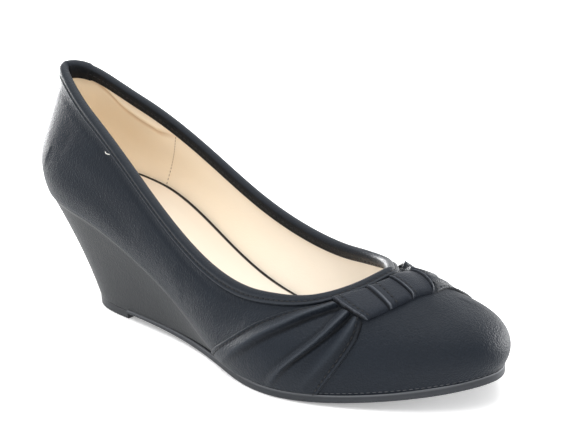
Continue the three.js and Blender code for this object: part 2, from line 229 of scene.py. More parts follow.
# Half sections of the last from heel to toe, as shares of the shoe's length, the ball's width and the
# counter's height. Foot is the feather edge, top the top line, lat the outer side and med the inner.
section_columns = (
    "foot_at", "foot_lat", "foot_med", "top_at", "top_lat", "top_med",
    "lat_rise", "med_rise", "lean", "rise", "reach", "drop",
)
sections = np.array([
    (0.015, 0, 0, 0.03, 0, 0, 1.0, 1.0, 0.105, 0.42, 0.05, 0.38),
    (0.045, -0.225, 0.21, 0.062, -0.09, 0.11, 0.975, 0.99, 0.1, 0.42, 0.05, 0.38),
    (0.13, -0.32, 0.32, 0.158, -0.19, 0.185, 0.831, 0.86, 0.075, 0.38, 0.038, 0.34),
    (0.27, -0.335, 0.31, 0.296, -0.275, 0.27, 0.682, 0.71, 0.064, 0.3, 0.026, 0.27),
    (0.41, -0.35, 0.275, 0.433, -0.338, 0.325, 0.596, 0.63, 0.07, 0.27, 0.028, 0.23),
    (0.54, -0.455, 0.33, 0.572, -0.375, 0.365, 0.587, 0.63, 0.075, 0.27, 0.05, 0.19),
    (0.65, -0.525, 0.45, 0.692, -0.335, 0.315, 0.611, 0.655, 0.075, 0.29, 0.113, 0.15),
    (0.76, -0.488, 0.51, 0.75, -0.24, 0.185, 0.657, 0.7, 0.068, 0.307, 0.166, 0.12),
    (0.871, -0.334, 0.458, 0.78, -0.148, 0.08, 0.71, 0.73, 0.038, 0.305, 0.245, 0.123),
    (0.953, -0.17, 0.276, 0.79, -0.055, 0.04, 0.74, 0.745, 0.124, 0.379, 0.314, 0.136),
    (0.996, 0.043, 0.043, 0.793, 0.01, 0.01, 0.752, 0.752, 0.168, 0.354, 0.319, 0.129),
])


def closed_spline(knots):
    """Smooth closed curve of numbers through the knots, which lie at 0, 1, 2 and so on."""
    knots = np.array(knots, float)
    count = len(knots)
    ring = np.eye(count)
    turn = np.roll(knots, 1) - 2 * knots + np.roll(knots, -1)
    bend = np.linalg.solve(4 * ring + np.roll(ring, 1, 0) + np.roll(ring, -1, 0), 6 * turn)

    def curve(place):
        low = np.floor(place)
        b = place - low
        a = 1 - b
        i = low.astype(int) % count
        j = (i + 1) % count
        return a * knots[i] + b * knots[j] + ((a**3 - a) * bend[i] + (b**3 - b) * bend[j]) / 6

    return curve


def around_shoe(size, lateral, medial):
    """Row 0 is the middle of the heel, row 10 the toe; the outer side comes first, then the inner."""
    return closed_spline(size * np.concatenate([lateral, medial[-2:0:-1]]))


column = dict(zip(section_columns, sections.T))
foot_x = around_shoe(shoe_length, column["foot_at"], column["foot_at"])
foot_y = around_shoe(ball_width, column["foot_lat"], column["foot_med"])
top_x = around_shoe(shoe_length, column["top_at"], column["top_at"])
top_y = around_shoe(ball_width, column["top_lat"], column["top_med"])
top_rise = around_shoe(counter_height, column["lat_rise"], column["med_rise"])
lean = around_shoe(ball_width, column["lean"], column["lean"])
rise = around_shoe(counter_height, column["rise"], column["rise"])
reach = around_shoe(ball_width, column["reach"], column["reach"])
drop = around_shoe(counter_height, column["drop"], column["drop"])


def spring_z(x):
    return toe_spring * np.maximum(0, (x - spring_start) / (shoe_length - spring_start)) ** 2


def seat_z(x):
    """Height of the surface on which the upper and the insole stand."""
    low, high = sole_thickness + clearance, seat_height - seat_fall * seat_end
    run = tread_start - seat_end
    t = np.clip((x - seat_end) / run, 0, 1)
    shank = (2 * t**3 - 3 * t**2 + 1) * high + (3 * t**2 - 2 * t**3) * low
    entry = (t**3 - 2 * t**2 + t) * run * -seat_fall
    return np.where(x < seat_end, seat_height - seat_fall * x, shank + entry) + spring_z(x)


def points(x, y, z):
    return np.stack(np.broadcast_arrays(x, y, z), -1)


def unit(vectors):
    return vectors / np.linalg.norm(vectors, axis=-1, keepdims=True)


def out_of(outline_x, outline_y, row):
    step = 0.01
    dx = outline_x(row + step) - outline_x(row - step)
    dy = outline_y(row + step) - outline_y(row - step)
    return unit(points(dy, -dx, 0 * dx))


def wall(row, up):
    """Outer face of the upper, by the row around the shoe and up from the feather edge (0) to the top (1)."""
    row, up = np.broadcast_arrays(np.asarray(row, float), np.asarray(up, float))
    foot = points(foot_x(row), foot_y(row), seat_z(foot_x(row)))
    top = points(top_x(row), top_y(row), seat_z(top_x(row)) + top_rise(row))
    low = foot + out_of(foot_x, foot_y, row) * lean(row)[..., None] + points(0, 0, rise(row))
    high = top + out_of(top_x, top_y, row) * reach(row)[..., None] - points(0, 0, drop(row))
    u = up[..., None]
    v = 1 - u
    return v**3 * foot + 3 * v**2 * u * low + 3 * v * u**2 * high + u**3 * top + shoe_middle


def wall_normal(row, up):
    step = 0.004
    along = wall(row + step, up) - wall(row - step, up)
    upward = wall(row, up + step) - wall(row, up - step)
    return unit(np.cross(along, upward))


def off_wall(row, up, out):
    row, up, out = np.broadcast_arrays(*(np.asarray(v, float) for v in (row, up, out)))
    return wall(row, up) + wall_normal(row, up) * out[..., None]


even_rows = np.linspace(0, rows_around, 401)
wall_ups = np.linspace(1, 0, 161)
wall_runs = np.linalg.norm(np.diff(wall(even_rows[:, None], wall_ups[None, :]), axis=1), axis=2)
wall_runs = np.concatenate([np.zeros((len(even_rows), 1)), np.cumsum(wall_runs, axis=1)], axis=1)


def up_below_top(row, length):
    """Share up the wall that lies a given length below the top line."""
    place = np.mod(row, rows_around) / even_rows[1]
    before = np.minimum(place.astype(int), len(even_rows) - 2)
    lengths = np.broadcast_to(length, before.shape).ravel()
    share = (place - before).ravel()
    ups = 0
    for ahead, weight in ((0, 1 - share), (1, share)):
        runs = (before + ahead).ravel()
        ups = ups + weight * [np.interp(far, wall_runs[k], wall_ups) for far, k in zip(lengths, runs)]
    return ups.reshape(before.shape)


def bump(distance):
    """One at nought, and none at one or more away."""
    return (1 - np.minimum(1, np.abs(distance)) ** 2) ** 2


def rounded(distance):
    """Quarter circle: none at nought, one at one or more."""
    return np.sqrt(1 - (1 - np.clip(distance, 0, 1)) ** 2)


def smooth_line(knots, count):
    """Evenly numbered points on a smooth open line through the knots."""
    knots = np.array(knots, float)
    last = len(knots) - 1
    place = np.linspace(0, last, count)
    i = np.minimum(place.astype(int), last - 1)
    t = (place - i)[:, None]
    before, here = knots[np.maximum(i - 1, 0)], knots[i]
    after, beyond = knots[i + 1], knots[np.minimum(i + 2, last)]
    start, end = (after - before) / 2, (beyond - here) / 2
    cubic = 2 * here - 2 * after + start + end
    square = 3 * after - 3 * here - 2 * start - end
    return cubic * t**3 + square * t**2 + start * t + here


def creases(spots, lines):
    """Soft ridges and troughs along lines drawn on the wall: how far each spot moves out."""
    out = np.zeros(spots.shape[:-1])
    for half, height, knots in lines:
        line = smooth_line(knots, 60)
        trace = wall(line[:, 0], line[:, 1])
        box_low, box_high = trace.min(0) - 2 * half, trace.max(0) + 2 * half
        near = np.all((spots > box_low) & (spots < box_high), axis=-1)
        if not near.any():
            continue
        apart = np.linalg.norm(spots[near][:, None, :] - trace[None, :, :], axis=2)
        nearest = apart.argmin(1)
        share = nearest / (len(trace) - 1)
        out[near] += height * bump(apart.min(1) / half) * rounded(4 * np.minimum(share, 1 - share))
    return out


def make_piece(name, spots, faces, finish, fields=None, sharp=40):
    """A mesh object at the origin with its faces turned outwards."""
    faces = np.array(faces)
    a, b, c, d = (spots[faces[:, k]] for k in range(4))
    volume = np.sum(a * np.cross(b, c)) + np.sum(a * np.cross(c, d))
    if volume < 0:
        faces = faces[:, ::-1]
    mesh = bpy.data.meshes.new(name)
    # a face that names a corner twice is a triangle
    mesh.from_pydata(spots.tolist(), [], [list(dict.fromkeys(face)) for face in faces.tolist()])
    for field, values in (fields or {}).items():
        mesh.attributes.new(field, "FLOAT", "POINT").data.foreach_set("value", values)
    joined = bmesh.new()
    joined.from_mesh(mesh)
    bmesh.ops.remove_doubles(joined, verts=joined.verts, dist=1e-7)
    joined.to_mesh(mesh)
    joined.free()
    mesh.validate()
    mesh.shade_smooth()
    mesh.set_sharp_from_angle(angle=math.radians(sharp))
    mesh.materials.append(finish.material)
    piece = bpy.data.objects.new(name, mesh)
    scene.collection.objects.link(piece)
    return piece


def ring_faces(rows, columns, rows_closed, loop_closed):
    i, j = np.meshgrid(
        np.arange(rows if rows_closed else rows - 1),
        np.arange(columns if loop_closed else columns - 1),
        indexing="ij",
    )
    here, j = i.ravel() * columns, j.ravel()
    beyond, next_j = (here + columns) % (rows * columns), (j + 1) % columns
    return np.stack([here + j, beyond + j, beyond + next_j, here + next_j], 1)


def hoop(name, grid, finish, fields=None, sharp=40):
    """A closed skin: each row is a closed loop, and the last row joins the first."""
    rows, columns = grid.shape[:2]
    faces = ring_faces(rows, columns, True, True)
    flat = {field: values.ravel() for field, values in (fields or {}).items()}
    return make_piece(name, grid.reshape(-1, 3), faces, finish, flat, sharp)


def slab(name, cover, back, finish, fields=None, sharp=40):
    """A closed skin between a cover and a back, two grids of the same size."""
    rows, columns = cover.shape[:2]
    count = rows * columns
    top = ring_faces(rows, columns, False, False)
    under = top[:, ::-1] + count
    i, j = np.arange(rows - 1), np.arange(columns - 1)
    low = np.stack([i * columns, i * columns + count, (i + 1) * columns + count, (i + 1) * columns], 1)
    high = low[:, ::-1] + columns - 1
    start = np.stack([j, j + 1, j + 1 + count, j + count], 1)
    end = start[:, ::-1] + (rows - 1) * columns
    flat = {}
    for field, values in (fields or {}).items():
        flat[field] = np.concatenate([values.ravel(), 0 * values.ravel()])
    both = np.concatenate([cover.reshape(-1, 3), back.reshape(-1, 3)])
    return make_piece(name, both, np.concatenate([top, under, low, high, start, end]), finish, flat, sharp)


def leather(name, dark, light, roughness=0.45, grain=1.0, highlight_lift=40, gloss=0.15):
    """Fine-grained leatherette: small pebbles and a faint mottle, with a painted highlight where its crest
    field is high and painted shade where its trough field is high.
    """
    finish = Finish(name, {
        "Specular IOR Level": 0.14,
        "Sheen Weight": 0.07,
        "Sheen Roughness": 0.4,
        "Coat Roughness": 0.22,
    })
    mottle = finish.noise(55, 3)
    pebbles = finish.cells(1500)
    pores = finish.noise(1100, 2)
    wrinkles = finish.noise(420, 4, 0.65)
    crest_highlight = finish.field("crest")
    trough_shade = finish.field("trough")
    tone = finish.mix(mottle, paint(*dark), paint(*light))
    tone = finish.mix(0.35 * pebbles, tone, paint(*(c + 12 for c in light)))
    # painted highlight on crests, paler by the highlight lift; painted shade in troughs
    tone = finish.mix(crest_highlight * 0.4, tone, paint(*(c + highlight_lift for c in light)))
    tone = finish.mix(trough_shade * 0.75, tone, paint(*(c * 0.4 for c in dark)))
    finish.shade("Base Color", tone)
    finish.shade("Roughness", roughness - 0.05 + 0.12 * mottle - 0.08 * crest_highlight + 0.1 * pebbles)
    finish.shade("Coat Weight", gloss * finish.between(crest_highlight, 0.55, 1.0))
    finish.bump([
        (mottle, 0.0003),
        (wrinkles, 0.0002 * grain),
        (pores, 0.00005 * grain),
        (pebbles, 0.00018 * grain),
    ])
    return finish


upper_leather = leather("upper_leather", (17, 22, 29), (23, 29, 37))
upper_rows = np.linspace(0, rows_around, 480, endpoint=False)
upper_ups = np.concatenate([[0.0, 0.006, 0.014], np.linspace(0.025, 1, 80)])
row, up = np.meshgrid(upper_rows, upper_ups, indexing="ij")
face = wall(row, up)
from_heel = np.minimum(row, rows_around - row)
seam_off = from_heel * 24 * mm
seam_groove = bump(seam_off / (0.7 * mm))
seam_ridge = bump((seam_off - 1.6 * mm) / (1.1 * mm))
# half width, height, and the line drawn on the wall as row and up
shape_lines = [
    (9 * mm, -0.5 * mm, [(1.4, 0.34), (2.4, 0.38), (3.4, 0.42)]),
    (10 * mm, 0.45 * mm, [(1.8, 0.62), (3.0, 0.66), (4.2, 0.62)]),
    (7 * mm, -0.4 * mm, [(4.3, 0.3), (4.9, 0.42), (5.5, 0.6)]),
    (8 * mm, -0.35 * mm, [(8.3, 0.56), (9.4, 0.6), (10.5, 0.58)]),
    (6 * mm, -0.3 * mm, [(15.2, 0.34), (16.0, 0.5), (16.8, 0.56)]),
    (1.7 * mm, -0.14 * mm, [(3.75, 0.34), (3.95, 0.5), (4.05, 0.66)]),
    (1.6 * mm, -0.12 * mm, [(3.95, 0.26), (4.2, 0.42), (4.35, 0.6)]),
    (1.7 * mm, -0.14 * mm, [(4.2, 0.22), (4.45, 0.38), (4.6, 0.54)]),
    (1.6 * mm, -0.12 * mm, [(4.45, 0.2), (4.7, 0.34), (4.88, 0.5)]),
]
over_wedge_end = 5.6
below_binding = np.abs(up - up_below_top(row, 6.5 * mm)) * 48 * mm
out = creases(face, shape_lines) - 0.3 * mm * bump(below_binding / (3.5 * mm)) * (up < 0.99)
out = out - 0.35 * mm * seam_groove + 0.2 * mm * seam_ridge
out = out - 0.25 * mm * (1 - rounded(up / 0.012)) * (from_heel < over_wedge_end)
outside = off_wall(row, up, out)
inner_ups = np.linspace(1, 0.004, 8)
inside = off_wall(upper_rows[:, None], inner_ups[None, :], -leather_thickness)
over_wedge = np.clip((over_wedge_end - from_heel) / 0.6, 0, 1)
foot_highlight = 0.45 * bump(up / 0.05) * over_wedge
plain = 0 * inside[..., 0]
# painted highlight on the heel seam's ridge and along the foot of the upper over the wedge; painted shade in
# the seam's groove
crest = np.concatenate([0.5 * seam_ridge + foot_highlight, plain], axis=1)
trough = np.concatenate([bump(seam_off / (0.5 * mm)), plain], axis=1)
skin = np.concatenate([outside, inside], axis=1)
upper = hoop("upper_skin", skin, upper_leather, {"crest": crest, "trough": trough})
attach(upper, "root")
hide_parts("upper")


# Lining: a thin cream sheet inside the upper. Along the inner side of the heel it stands off in a soft
# roll below the facing, with a trough under it, and one seam of pin stitches runs down to the sock.
lining_cream = Finish("lining_cream", {"Specular IOR Level": 0.3, "Sheen Weight": 0.1})
cloud = lining_cream.noise(30, 3)
towards_toe = lining_cream.between(lining_cream.lengthwise(), 0.0, 0.11)
speckle = lining_cream.noise(1500, 2)
tone = lining_cream.mix(cloud, paint(247, 229, 200), paint(252, 236, 211))
# painted shade: warmer and a little darker at the heel, inside the counter, and paler towards the open front
tone = lining_cream.mix(towards_toe, tone, paint(253, 250, 243))
# painted shade: brownish in the trough under the roll
tone = lining_cream.mix(lining_cream.field("trough") * 0.55, tone, paint(196, 160, 118))
lining_cream.shade("Base Color", tone)
lining_cream.shade("Roughness", 0.5 + 0.2 * speckle)
lining_cream.bump([(cloud, 0.0004), (speckle, 0.00006)])

lining_rows = np.linspace(0, rows_around, 360, endpoint=False)
lining_ups = np.linspace(0.004, 0.985, 70)
row, up = np.meshgrid(lining_rows, lining_ups, indexing="ij")
below_top = np.empty_like(up)
for k, line_row in enumerate(lining_rows):
    run = wall_runs[int(round(line_row / rows_around * (len(even_rows) - 1)))]
    below_top[k] = np.interp(lining_ups, wall_ups[::-1], run[::-1])
# how far below the top line the trough runs, from the inner side's quarter to the heel
trough_rows = (17.3, 17.45, 17.7, 18.0, 18.3, 18.6, 18.95, 19.4)
trough_depths = (6.5, 7.5, 12, 12.6, 11.8, 7.8, 4.8, 4)
trough_depth = np.interp(row, trough_rows, trough_depths) * mm
puffed = np.clip((row - 17.35) / 0.3, 0, 1) * np.clip((19.5 - row) / 0.5, 0, 1)
roll = bump((below_top - trough_depth + 3.4 * mm) / (3.2 * mm)) * puffed
valley = bump((below_top - trough_depth) / (2.2 * mm)) * puffed
inward = wall_thickness + 0.9 * mm * roll - 0.4 * mm * valley
hidden_ups = np.linspace(0.985, 0.004, 6)
hidden = off_wall(lining_rows[:, None], hidden_ups[None, :], -leather_thickness - 0.1 * mm)
skin = np.concatenate([off_wall(row, up, -inward), hidden], axis=1)
trough = np.concatenate([valley, 0 * hidden[..., 0]], axis=1)
lining = hoop("lining", skin, lining_cream, {"trough": trough})
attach(lining, "root")
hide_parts("upper")


# Collar binding: a strip of the same leatherette, sewn on the outside, rolled over the top edge and
# stitched through in a groove. Its deeper inner leg faces the lining. The ends lap behind the heel.
binding_drop = 3.4 * mm
binding_leather = leather("binding_leather", (22, 26, 32), (29, 34, 41), 0.42, 0.6)
# down the wall from the top line, and off the upper's outer face, both in mm
binding_outline = np.array([
    (3.6, 0.25), (3.64, 0.6), (3.56, 0.92), (3.36, 1.1), (3.1, 1.18), (2.85, 1.16), (2.62, 1.06),
    (2.4, 0.96), (2.15, 0.88), (1.9, 0.88), (1.66, 1.0), (1.46, 1.16), (1.2, 1.3), (0.85, 1.42),
    (0.4, 1.46), (0.0, 1.38), (-0.45, 1.2), (-0.85, 0.9), (-1.15, 0.5), (-1.38, 0.0), (-1.5, -0.5),
    (-1.5, -1.05), (-1.36, -1.6), (-1.05, -2.15), (-0.6, -2.55), (0.0, -2.78), (0.8, -2.86), (1.7, -2.88),
    (2.6, -2.88), (3.5, -2.88), (4.2, -2.86), (4.5, -2.76), (4.62, -2.5), (4.62, -2.15), (3.0, -2.1),
    (1.0, -2.1), (-0.2, -1.7), (-0.32, -0.9), (-0.2, 0.1), (1.0, 0.25), (2.4, 0.25),
]) * mm


def binding_spot(row, down, out):
    """A spot on the folded strip, given down the wall and off its outer face."""
    step = 0.004
    over = np.minimum(down, 0)
    up = up_below_top(row, np.maximum(down, 0))
    tip = unit(wall(row, 1.0) - wall(row, 1.0 - step))
    return off_wall(row, up, out) - tip * np.broadcast_to(over, np.shape(row))[..., None]


binding_rows = np.linspace(0, rows_around, 560, endpoint=False)
from_heel = np.minimum(binding_rows, rows_around - binding_rows)
at_heel = 0.9 * bump(from_heel / 1.8)
loops = []
for down, out in binding_outline:
    inner_leg = out < -2 * mm and down > 0
    loops.append(binding_spot(binding_rows, down * (1 + 0.25 * at_heel * inner_leg), out))
loops = np.stack(loops, axis=1)
pinch = 0.5 * mm * bump(from_heel * 20 * mm / (0.8 * mm))
outer_spots = 24
outwards = wall_normal(binding_rows, 0 * binding_rows + 0.98)
loops[:, :outer_spots] -= outwards[:, None, :] * pinch[:, None, None]
# one end laps over the other from the middle of the heel towards the inner side
lapped = np.clip((binding_rows - 18.98) / 0.05, 0, 1) + np.clip((0.12 - binding_rows) / 0.05, 0, 1)
core = binding_spot(binding_rows, 1.2 * mm, -0.9 * mm)
loops += unit(loops - core[:, None]) * (0.45 * mm * lapped)[:, None, None]
# the spots of the outline that get a painted highlight, and how strong it is; the groove, the inner leg and
# the outer leg's lower edge get painted shade
highlit_spots = (0, 2, 3, 4, 6, 9, 11, 12, 14, 18, 20, 22)
highlight_strength = (0, 0.4, 0.7, 0.5, 0, 0, 0.4, 0.3, 0, 0, 0.3, 0)
crest = np.interp(np.arange(len(binding_outline)), highlit_spots, highlight_strength)
trough = np.zeros(len(binding_outline))
trough[8:10] = 0.5
trough[25:] = 0.9
trough[0] = 1
every_row = np.ones((len(binding_rows), 1))
fields = {"crest": every_row * crest, "trough": every_row * trough}
binding = hoop("binding_strip", loops, binding_leather, fields, 60)
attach(binding, "root")
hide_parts("collar_binding")


# Drapes: a panel of the same leatherette on each side, gathered under the knot band and laid in three
# folds that fan out to the sole. Both long edges are turned under and stitched down.
drape_leather = leather("drape_leather", (18, 23, 30), (24, 30, 38), 0.42, 0.8)
drape_thickness = 1 * mm
# rear, middle and front edge from the knot down to the sole, each as row and up
lateral_edges = np.array([
    ((6.93, 0.9), (7.4, 0.775), (7.8, 0.645)),
    ((6.15, 0.86), (7.03, 0.66), (7.68, 0.5)),
    ((5.72, 0.68), (6.75, 0.47), (7.5, 0.34)),
    ((5.42, 0.35), (6.5, 0.25), (7.3, 0.15)),
    ((5.04, 0.02), (6.33, 0.015), (7.16, 0.015)),
])
medial_edges = np.array([
    ((13.3, 0.89), (11.75, 0.845), (10.2, 0.735)),
    ((13.4, 0.68), (12.1, 0.68), (10.75, 0.7)),
    ((13.55, 0.45), (12.5, 0.48), (11.3, 0.56)),
    ((13.68, 0.22), (12.85, 0.26), (11.85, 0.32)),
    ((13.8, 0.02), (13.02, 0.015), (12.25, 0.015)),
])
# where a fold lies across the drape at four places down from the knot to the sole, its half width there
# as a share of the drape, its height in mm there, and how far it leans to the front
lateral_folds = [
    ((0.22, 0.18, 0.14, 0.1), (0.16, 0.1, 0.07, 0.06), (2.3, 2.5, 1.4, 0.0), 0.4),
    ((0.6, 0.63, 0.58, 0.54), (0.15, 0.07, 0.05, 0.05), (2.4, 2.6, 1.9, 0.0), 0.45),
    ((0.87, 0.86, 0.85, 0.84), (0.12, 0.09, 0.08, 0.06), (1.8, 1.2, 0.7, 0.0), 0.15),
]
medial_folds = [
    ((0.1, 0.14, 0.2, 0.24), (0.07, 0.08, 0.09, 0.08), (3.0, 2.2, 0.8, 0.0), 0.2),
    ((0.3, 0.37, 0.42, 0.48), (0.07, 0.08, 0.07, 0.07), (2.2, 3.6, 1.2, 0.0), 0.2),
    ((0.62, 0.64, 0.67, 0.68), (0.2, 0.13, 0.08, 0.07), (1.6, 1.8, 1.2, 0.0), 0.2),
]
hem_steps = np.array([
    0, 0.06, 0.16, 0.3, 0.46, 0.64, 0.84, 1.06, 1.3, 1.5, 1.66, 1.8, 1.94, 2.1, 2.34, 2.7,
]) * mm


def along_line(knots, share, count=201):
    """Row and up at a share of the way along a smooth line."""
    line = smooth_line(knots, count)
    return np.stack([np.interp(share, np.linspace(0, 1, count), line[:, n]) for n in (0, 1)], -1)


def under_binding(row, up):
    """The same height on the wall, or just below the binding where that is lower."""
    return np.minimum(up, up_below_top(row, binding_drop + clearance))


def drape_width(edges, downs):
    count = 41
    lines = [smooth_line(edges[:, k], count) for k in range(3)]
    near, middle, far = (wall(line[:, 0], line[:, 1]) for line in lines)
    width = np.linalg.norm(near - middle, axis=1) + np.linalg.norm(middle - far, axis=1)
    return np.interp(downs, np.linspace(0, 1, count), width)


def on_drape(edges, folds, across, down):
    """Row, up, height, painted highlight and painted shade of spots on a drape; across and down are two grids
    of shares.
    """
    inside = np.clip(down, 0, 1)
    width = drape_width(edges, inside)
    height = np.full(across.shape, drape_thickness)
    lean_over = np.zeros(across.shape)
    crest = np.zeros(across.shape)
    trough = np.zeros(across.shape)
    for places, halves, heights, leaning in folds:
        place = np.interp(inside, (0, 0.3, 0.65, 1), places)
        half = np.interp(inside, (0, 0.3, 0.65, 1), halves)
        tall = np.interp(inside, (0, 0.3, 0.65, 1), heights) * mm
        off = (across - place) / half
        swell = bump(np.where(off < 0, off / 1.35, off / 0.75))
        gully = bump((off - 1.0) / 0.7) + 0.4 * bump((off + 1.5) / 0.6)
        height += tall * swell - 0.16 * tall * gully
        lean_over += leaning * half * swell * np.minimum(1, tall / (2.5 * mm))
        # painted highlight on each fold's top, painted shade in the gullies beside it
        crest += swell**4 * np.minimum(1, tall / (2 * mm))
        trough += gully * np.minimum(1, tall / (2 * mm))
    edge = np.minimum(across, 1 - across) * width
    hem = 0.1 * mm * bump((edge - 0.8 * mm) / (0.8 * mm)) - 0.14 * mm * bump((edge - 1.8 * mm) / (0.6 * mm))
    height = (np.maximum(height, 0.5 * mm) + hem) * rounded(edge / (0.7 * mm))
    tucked = np.clip((down + 0.05) / 0.06, 0, 1)
    height = height * (0.45 + 0.55 * tucked) * (0.35 + 0.65 * rounded((1 - down) / 0.03))
    # painted highlight along the turned hems; painted shade along the stitch rows and in the seam at each
    # edge
    crest = crest + 0.2 * bump((edge - 0.7 * mm) / (0.7 * mm))
    trough = trough + 0.3 * bump((edge - 1.8 * mm) / (0.6 * mm)) + 0.8 * bump(edge / (0.4 * mm))
    place = across + lean_over
    rear, middle, front = (along_line(edges[:, k], inside) for k in range(3))
    side = np.where((place < 0.5)[..., None], rear, front)
    share = np.abs(2 * place - 1)[..., None]
    where = middle * (1 - share) + side * share
    return where[..., 0], where[..., 1], height, np.clip(crest, 0, 1), np.clip(trough, 0, 1)


def drape_spots(edges, folds, across, down, lift=0.0):
    row, up, height, crest, trough = on_drape(edges, folds, across, down)
    return off_wall(row, under_binding(row, up), height + lift), crest, trough


def make_drape(name, edges, folds, hollow_to):
    downs = np.concatenate([[0.03, 0.012, 0.0], np.linspace(0, 1, 100)])
    grid = []
    for width in drape_width(edges, downs):
        middle = np.linspace(hem_steps[-1] / width, 1 - hem_steps[-1] / width, 112)[1:-1]
        grid.append(np.concatenate([hem_steps / width, middle, 1 - hem_steps[::-1] / width]))
    across = np.array(grid)
    down = np.repeat(downs[:, None], across.shape[1], axis=1)
    cover, crest, trough = drape_spots(edges, folds, across, down)

    def end_line(line, share):
        """Spots of one line across the drape, at a share of the way up from the wall."""
        a, d = across[line : line + 1], down[line : line + 1]
        low = drape_spots(edges, [], a, d, -drape_thickness)[0][0]
        high = drape_spots(edges, folds, a, d)[0][0]
        return low + (high - low) * share

    # the drape is closed at the knot, but for the hollow mouth of its rear fold, which gets painted shade
    mouth = np.clip((hollow_to - across[:3]) / 0.03, 0, 1)
    for line, (share_hollow, share_closed) in enumerate(((0.25, 0.1), (0.4, 0.5), (0.85, 0.9))):
        hollow, closed = end_line(line, share_hollow), end_line(3, share_closed)
        cover[line] = closed + (hollow - closed) * mouth[line][:, None]
        trough[line] = mouth[line]
    even_downs = np.repeat(np.linspace(0, 1, len(downs))[:, None], across.shape[1], axis=1)
    row, up, *_ = on_drape(edges, [], across, even_downs)
    back = off_wall(row, under_binding(row, up), -0.2 * mm)
    piece = slab(name + "_panel", cover, back, drape_leather, {"crest": crest, "trough": trough}, 70)
    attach(piece, "root")
    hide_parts(name)


make_drape("drape_lateral", lateral_edges, lateral_folds, 0.0)
make_drape("drape_medial", medial_edges, medial_folds, 0.2)


# Knot band: a folded strap across the vamp that gathers the drapes, laid in three tucks. The front of
# each tuck is a thin corded edge with a row of stitches beside it, and the strap's long edges are rolled.
# the cords get a strong painted highlight
band_leather = leather("band_leather", (25, 29, 36), (33, 38, 46), 0.42, 0.8, 90, 0.6)
band_edges = np.array([
    ((7.0, 0.92), (7.88, 0.66)),
    ((8.12, 0.93), (8.42, 0.715)),
    ((9.25, 0.935), (9.33, 0.755)),
    ((9.95, 0.935), (9.8, 0.755)),
    ((10.95, 0.905), (10.1, 0.74)),
])
band_thickness, band_crown = 1.5 * mm, 1.6 * mm
tucks = np.array((0.0, 0.25, 0.49, 0.93))
cord_half, stitches_off = 0.45 * mm, 2.1 * mm


def band_length():
    lines = [smooth_line(band_edges[:, k], 60) for k in (0, 1)]
    runs = [np.linalg.norm(np.diff(wall(line[:, 0], line[:, 1]), axis=0), axis=1).sum() for line in lines]
    return sum(runs) / 2


band_run = band_length()


def under_band(along, across):
    """Row and up of a place under the band: along from its outer to its inner end, across to the front."""
    rear, front = (along_line(band_edges[:, k], along, 401) for k in (0, 1))
    where = rear * (1 - across[..., None]) + front * across[..., None]
    return where[..., 0], under_binding(where[..., 0], where[..., 1])


def band_spots(along, across, lift=0.0):
    crown = np.sqrt(np.maximum(0, 4 * across * (1 - across)))
    height = band_thickness * rounded(np.minimum(across, 1 - across) / 0.05) + band_crown * crown
    crest = np.zeros(along.shape)
    trough = np.zeros(along.shape)
    for start, end in zip(tucks, (*tucks[1:], 1.0)):
        inside = np.clip((along - start) / (end - start), 0, 1)
        within = (along >= start) & (along < end)
        height += np.where(within, 0.5 * mm * (1 - inside) ** 2 + 0.25 * mm * bump(2 * inside - 1), 0)
    # painted highlight on each cord, strongest at the strap's front edge; painted shade in the crease on its
    # outer side and along its stitch row
    for start in tucks:
        off = (along - start) * band_run
        cord = bump((off - 0.35 * mm) / cord_half)
        stitched = bump((off - stitches_off) / (0.5 * mm))
        height += (0.3 + 0.35 * across) * mm * cord
        height -= 0.45 * mm * bump((off + 0.25 * mm) / (0.4 * mm)) + 0.12 * mm * stitched
        crest += (0.4 + 0.6 * across) * cord
        trough += bump((off + 0.25 * mm) / (0.45 * mm)) + 0.3 * stitched
    ends = np.minimum(along, 1 - along) * band_run
    height = height * rounded(ends / (0.6 * mm))
    spots = off_wall(*under_band(along, across), height + lift)
    return spots, np.clip(crest, 0, 1), np.clip(trough, 0, 1)


alongs = np.unique(np.concatenate([
    np.linspace(0, 1, 120),
    *[start + np.linspace(-1.2, 2.4, 25) * mm / band_run for start in tucks],
    np.array([0.1, 0.3, 0.5]) * mm / band_run,
    1 - np.array([0.1, 0.3, 0.5]) * mm / band_run,
]).clip(0, 1))
acrosses = (1 - np.cos(np.linspace(0, math.pi, 56))) / 2
along, across = np.meshgrid(alongs, acrosses, indexing="ij")
cover, crest, trough = band_spots(along, across)
back = off_wall(*under_band(along, across), 0.1 * mm)
knot_band = slab("band_strap", cover, back, band_leather, {"crest": crest, "trough": trough}, 70)
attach(knot_band, "root")
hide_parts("knot_band")


# Insole: the board and its cream sock, cupped a little at the sides. A thin black line is painted along the
# sock's edge, where it meets the lining.
insole_thickness = 1.8 * mm
sock_cream = Finish("sock_cream", {"Specular IOR Level": 0.3})
cloud = sock_cream.noise(22, 3)
speckle = sock_cream.noise(1700, 2)
blush = sock_cream.between(cloud, 0.35, 0.75)
towards_toe = sock_cream.between(sock_cream.lengthwise(), 0.04, 0.12)
tone = sock_cream.mix(blush, paint(226, 215, 199), paint(230, 213, 197))
# painted light: paler and whiter towards the toe, where the open front lets more light onto the sock
tone = sock_cream.mix(towards_toe, tone, paint(240, 234, 230))
# near-black along the sock's edge
tone = sock_cream.mix(sock_cream.field("trough"), tone, paint(24, 22, 22))
sock_cream.shade("Base Color", tone)
sock_cream.shade("Roughness", 0.55 + 0.15 * speckle)
sock_cream.bump([(cloud, 0.0003), (speckle, 0.00006)])

sock_rows = np.linspace(0, toe_row, 200)
sock_shares = (1 - np.cos(np.linspace(0, math.pi, 72))) / 2


def foot_line(row, inset):
    return points(foot_x(row), foot_y(row), 0 * row) - out_of(foot_x, foot_y, row) * inset


def sole_grid(outline, rows, shares):
    lateral = outline(rows)
    medial = outline(rows_around - rows)
    return lateral[:, None] * (1 - shares[None, :, None]) + medial[:, None] * shares[None, :, None]


